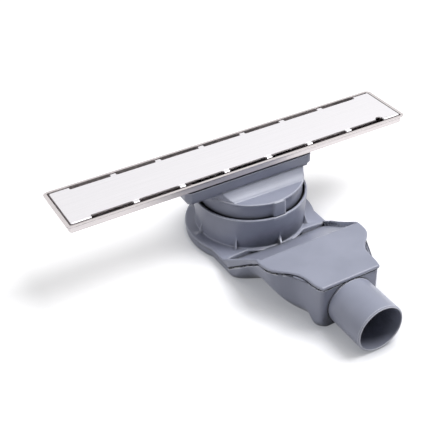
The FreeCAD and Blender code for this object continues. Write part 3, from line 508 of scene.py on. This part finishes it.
@dataclass
class Studio:
    """Floor, light and camera of the photograph."""

    floor_side_m: float = 30.0
    floor_colour: str = "#F4F4F6"
    bounce_colour: str = "#A8A8AC"
    # Painted shadow: paper within this distance of the part is painted darker, towards the colour
    # below.
    contact_shadow_mm: float = 60.0
    contact_shadow_colour: str = "#B4B6BC"
    floor_lift: float = 0.50
    ambient: float = 0.11
    key_energy_w: float = 28.0
    key_size_m: float = 1.0
    key_place_m: tuple[float, float, float] = (0.70, -0.30, 1.60)
    fill_energy_w: float = 8.5
    fill_size_m: float = 1.6
    fill_place_m: tuple[float, float, float] = (-1.6, 0.0, 0.8)
    camera_place_mm: tuple[float, float, float] = (-404.91, -669.03, 578.75)
    camera_yaw: float = 0.508
    camera_pitch: float = 0.636
    camera_roll: float = 0.0272
    focal_px: float = 890.95
    sensor_mm: float = 36.0
    near_m: float = 0.05
    far_m: float = 60.0
    aim_mm: tuple[float, float, float] = (0.0, -60.0, 50.0)

    def build(self) -> None:
        """Set up the whole stage."""
        self.set_world()
        self.add_floor()
        self.add_lamp("key_softbox", self.key_place_m, self.key_energy_w, self.key_size_m)
        self.add_lamp("fill_softbox", self.fill_place_m, self.fill_energy_w, self.fill_size_m)
        self.add_camera()
        bpy.context.scene.view_settings.view_transform = "Standard"
        LOG.info("stage ready")

    def seen_or_mirrored(self, tree: bpy.types.NodeTree) -> bpy.types.NodeSocket:
        """Tell the rays of the camera and of reflections from the rays that carry light.

        Args:
            tree: The node tree to add to.

        Returns:
            A socket that is 1 for what the camera or a glossy surface sees, and 0 for light.
        """
        rays = add_node(tree, "ShaderNodeLightPath")
        either = add_node(
            tree, "ShaderNodeMath", {"operation": "MAXIMUM"},
            {0: rays.outputs["Is Camera Ray"], 1: rays.outputs["Is Glossy Ray"]},
        )
        return either.outputs["Value"]

    def set_world(self) -> None:
        """Light the scene evenly, and show the camera and the gloss a white surround."""
        world = bpy.data.worlds.new("studio_surround")
        world.use_nodes = True
        tree = world.node_tree
        tree.nodes.clear()
        level = add_node(
            tree, "ShaderNodeMapRange", None,
            {"Value": self.seen_or_mirrored(tree), "To Min": self.ambient, "To Max": 1.0},
        )
        surround = add_node(
            tree, "ShaderNodeBackground", None,
            {"Color": (1.0, 1.0, 1.0, 1.0), "Strength": level.outputs["Result"]},
        )
        add_node(tree, "ShaderNodeOutputWorld", None, {"Surface": surround.outputs["Background"]})
        bpy.context.scene.world = world

    def add_floor(self) -> None:
        """Lay a white floor that keeps the object's soft shadow, deepened by a painted contact
        shadow.
        """
        sheet = bmesh.new()
        bmesh.ops.create_grid(sheet, x_segments=1, y_segments=1, size=self.floor_side_m / 2)
        mesh = bpy.data.meshes.new("floor")
        sheet.to_mesh(mesh)
        sheet.free()
        mesh.materials.append(self.paper())
        floor = bpy.data.objects.new("floor", mesh)
        bpy.context.scene.collection.objects.link(floor)

    def paper(self) -> bpy.types.Material:
        """Return the floor's matt white paper, which bounces less light than it shows."""
        material, tree = blank_material("matt_white_paper")
        shown = self.seen_or_mirrored(tree)
        tone = add_node(
            tree, "ShaderNodeMix", {"data_type": "RGBA"},
            {
                "Factor": shown, MIX_A: linear(self.bounce_colour),
                MIX_B: linear(self.floor_colour),
            },
        )
        # Paper close to the part is painted darker, in its colour and in its glow: a painted
        # contact shadow where it sees less of the white room.
        open_sky = add_node(
            tree, "ShaderNodeAmbientOcclusion", {"samples": 8}, {"Distance": mm(self.contact_shadow_mm)},
        )
        painted_contact_shadow = add_node(tree, "ShaderNodeValToRGB", None, {"Fac": open_sky.outputs["AO"]})
        set_ramp(painted_contact_shadow.color_ramp, [(0.35, self.contact_shadow_colour), (0.95, "#FFFFFF")])
        shaded = add_node(
            tree, "ShaderNodeMix", {"data_type": "RGBA", "blend_type": "MULTIPLY"},
            {"Factor": 1.0, MIX_A: tone.outputs[MIX_RESULT], MIX_B: painted_contact_shadow.outputs["Color"]},
        )
        matt = add_node(
            tree, "ShaderNodeBsdfDiffuse", None, {"Color": shaded.outputs[MIX_RESULT]},
        )
        strength = add_node(
            tree, "ShaderNodeMath", {"operation": "MULTIPLY"}, {0: shown, 1: self.floor_lift},
        )
        lift = add_node(
            tree, "ShaderNodeEmission", None,
            {"Color": painted_contact_shadow.outputs["Color"], "Strength": strength.outputs["Value"]},
        )
        both = add_node(
            tree, "ShaderNodeAddShader", None,
            {0: matt.outputs["BSDF"], 1: lift.outputs["Emission"]},
        )
        add_node(tree, "ShaderNodeOutputMaterial", None, {"Surface": both.outputs["Shader"]})
        return material

    def add_lamp(
        self, name: str, place: tuple[float, float, float], energy: float, size: float
    ) -> None:
        """Hang a square softbox that faces the object.

        Args:
            name: The lamp's name.
            place: Where it hangs, in metres.
            energy: Its power in watts.
            size: Its side in metres.
        """
        target = Vector([mm(value) for value in self.aim_mm])
        light = bpy.data.lights.new(name, "AREA")
        light.energy = energy
        light.shape = "SQUARE"
        light.size = size
        lamp = bpy.data.objects.new(name, light)
        lamp.location = place
        lamp.rotation_mode = "QUATERNION"
        lamp.rotation_quaternion = (target - Vector(place)).to_track_quat("-Z", "Y")
        bpy.context.scene.collection.objects.link(lamp)

    def add_camera(self) -> None:
        """Put the camera where the photograph was taken from."""
        cam = bpy.data.cameras.new("photo_camera")
        cam.sensor_width = self.sensor_mm
        cam.lens = self.sensor_mm * self.focal_px / PHOTO_SIDE_PX
        cam.clip_start = self.near_m
        cam.clip_end = self.far_m
        holder = bpy.data.objects.new("photo_camera", cam)
        sin_yaw, cos_yaw = math.sin(self.camera_yaw), math.cos(self.camera_yaw)
        sin_pitch, cos_pitch = math.sin(self.camera_pitch), math.cos(self.camera_pitch)
        ahead = Vector((sin_yaw * cos_pitch, cos_yaw * cos_pitch, -sin_pitch))
        level_right = Vector((cos_yaw, -sin_yaw, 0.0))
        level_down = ahead.cross(level_right)
        right = math.cos(self.camera_roll) * level_right + math.sin(self.camera_roll) * level_down
        down = math.cos(self.camera_roll) * level_down - math.sin(self.camera_roll) * level_right
        turn = Matrix((right, -down, -ahead)).transposed()
        place = Vector([mm(value) for value in self.camera_place_mm])
        holder.matrix_world = Matrix.Translation(place) @ turn.to_4x4()
        bpy.context.scene.collection.objects.link(holder)
        bpy.context.scene.camera = holder


def outward(place: Vector, normal: Vector) -> bool:
    """Say whether a wall of the trap faces away from its inside.

    Args:
        place: A point of the wall.
        normal: The wall's normal there.

    Returns:
        True for the outer side.
    """
    middle = Vector((0.0, 0.0 if place.y > mm(PAN_FRONT_MM) else mm(BOX_MIDDLE_MM)))
    return (place.xy - middle).dot(normal.xy) > 0.0


def midpoint(edge: bmesh.types.BMEdge) -> Vector:
    """Return the middle of an edge."""
    return (edge.verts[0].co + edge.verts[1].co) / 2.0


def on_parting(edge: bmesh.types.BMEdge, side: Looks) -> bool:
    """Say whether an edge runs along the outside of the parting line between the shells.

    Args:
        edge: An edge of a shell's merged mesh.
        side: Which way the shell's parting face looks.

    Returns:
        True where it does.
    """
    if not edge.is_manifold or not edge.is_convex:
        return False
    place = midpoint(edge)
    level, wall = sorted(
        (face.normal for face in edge.link_faces), key=lambda normal: -normal.z * side.value
    )
    return (
        place.y > mm(BOX_FRONT_MM) and level.z * side.value > LEVEL_COS
        and abs(wall.z) < WALL_COS and outward(place, wall)
    )


def break_parting(mesh: bmesh.types.BMesh, side: Looks, width_mm: float) -> dict[str, list]:
    """Round the outer edge of a shell along the parting line.

    Args:
        mesh: The shell's merged mesh.
        side: Which way its parting face looks.
        width_mm: How far the rounding reaches into each face.

    Returns:
        The new faces, edges and corners.
    """
    join_flats(mesh, side)
    line = [edge for edge in mesh.edges if on_parting(edge, side)]
    LOG.info("parting edges that look %s: %d", side.name.lower(), len(line))
    return bmesh.ops.bevel(
        mesh, geom=line, offset=mm(width_mm), offset_type="OFFSET", affect="EDGES",
        segments=2, profile=0.5, clamp_overlap=False, material=-1,
    )


@dataclass
class CoverGrate:
    """The folded cover of the channel with its slots, on its rubber pads."""

    centre_y_mm: float = 0.4
    slot_from_mm: float = 25.2
    slot_to_mm: float = 26.6
    slot_shift_mm: float = 0.8

    def plate(self) -> bpy.types.Object:
        """Return the cover, its slots opened to the width in the photograph."""
        mesh = merged("cover_grate")
        for vert in mesh.verts:
            off = vert.co.y - mm(self.centre_y_mm)
            if mm(self.slot_from_mm) < abs(off) < mm(self.slot_to_mm):
                vert.co.y -= math.copysign(mm(self.slot_shift_mm), off)
        return finish_piece("cover", mesh, COVER_STEEL, "cover_grate")

    def build(self) -> None:
        """Build the cover and dress its pads."""
        self.plate()
        dress("cover_buffers", BUFFER_RUBBER)


@dataclass
class ChannelTray:
    """The pressed channel with its turned-out rim."""

    rim_top_mm: float = 99.1
    top_band_mm: float = 0.05
    bend_from_mm: float = 28.0
    bend_to_mm: float = 30.2
    roll_mm: float = 0.9

    def build(self) -> bpy.types.Object:
        """Return the channel, the bend from wall to rim rolled back along both sides."""
        mesh = merged("channel_tray")
        for vert in mesh.verts:
            on_top = abs(vert.co.z - mm(self.rim_top_mm)) < mm(self.top_band_mm)
            if on_top and mm(self.bend_from_mm) < abs(vert.co.y) < mm(self.bend_to_mm):
                vert.co.y += math.copysign(mm(self.roll_mm), vert.co.y)
        return finish_piece("channel", mesh, CHANNEL_STEEL, "channel_tray")


@dataclass
class ClampedJoint:
    """The gasket, frame and screws that press the channel on the adapter."""

    gasket_finish: Finish = SEAL_RUBBER
    frame_finish: Finish = CHANNEL_STEEL
    screw_finish: Finish = SCREW_STEEL

    def build(self) -> None:
        """Dress the pieces of the joint."""
        dress("collar_gasket", self.gasket_finish)
        dress("clamp_frame", self.frame_finish)
        dress("clamp_screws", self.screw_finish)


@dataclass
class OutletAdapter:
    """The eccentric adapter under the channel, whose collar flows down to its round top."""

    disc_top_mm: float = 65.7
    disc_margin_mm: float = 0.04
    flare_top_mm: float = 75.5
    collar_wall_mm: float = 26.9
    flare_reach_mm: float = 14.0
    flare_half_length_mm: float = 50.0
    flare_curve: float = 1.4

    def build(self) -> bpy.types.Object:
        """Return the adapter, the hollow under its collar filled to a straight flare."""
        mesh = merged("outlet_adapter")
        low, high = mm(self.disc_top_mm + self.disc_margin_mm), mm(self.flare_top_mm)
        wall, reach = mm(self.collar_wall_mm), mm(self.flare_reach_mm)
        for vert in mesh.verts:
            place = vert.co
            beside = abs(place.x) < mm(self.flare_half_length_mm) and abs(place.y) > wall
            if beside and low < place.z < high:
                fall = min((abs(place.y) - wall) / reach, 1.0)
                place.z = max(place.z, low + (high - low) * (1.0 - fall) ** self.flare_curve)
        return finish_piece("adapter", mesh, TRAP_PLASTIC, "outlet_adapter")


@dataclass
class WaterSeal:
    """The seals and the lift-out parts that hold the water and catch the hair."""

    seal_finish: Finish = SEAL_RUBBER
    insert_finish: Finish = INSERT_PLASTIC

    def build(self) -> None:
        """Dress the seals, then the lift-out parts."""
        for node in ("skirt_o_ring", "funnel_seal"):
            dress(node, self.seal_finish)
        for node in ("dip_funnel", "seal_cup", "hair_strainer"):
            dress(node, self.insert_finish)


@dataclass
class TrapBody:
    """The two moulded shells of the trap and their welded parting line."""

    groove_mm: float = 2.1
    groove_depth_mm: float = 1.3
    lip_edge_mm: float = 1.0

    def lower_shell(self) -> bpy.types.Object:
        """Return the lower shell, rebated along the parting line."""
        mesh = merged("trap_lower_shell")
        cut = break_parting(mesh, Looks.UP, self.groove_mm)
        corner = set(cut["faces"])
        inside = [vert for vert in cut["verts"] if all(face in corner for face in vert.link_faces)]
        for vert in inside:
            vert.co -= vert.normal * mm(self.groove_depth_mm)
        return finish_piece("lower_shell", mesh, TRAP_PLASTIC, "trap_lower_shell")

    def upper_shell(self) -> bpy.types.Object:
        """Return the upper shell, its lower edge broken."""
        mesh = merged("trap_upper_shell")
        break_parting(mesh, Looks.DOWN, self.lip_edge_mm)
        return finish_piece("upper_shell", mesh, TRAP_PLASTIC, "trap_upper_shell")

    def build(self) -> None:
        """Build both shells."""
        self.lower_shell()
        self.upper_shell()


def main() -> None:
    """Build the scene."""
    logging.basicConfig(level=logging.INFO, format="%(name)s: %(message)s")
    Studio().build()
    CoverGrate().build()
    ChannelTray().build()
    ClampedJoint().build()
    OutletAdapter().build()
    WaterSeal().build()
    TrapBody().build()


if __name__ == "__main__":
    main()
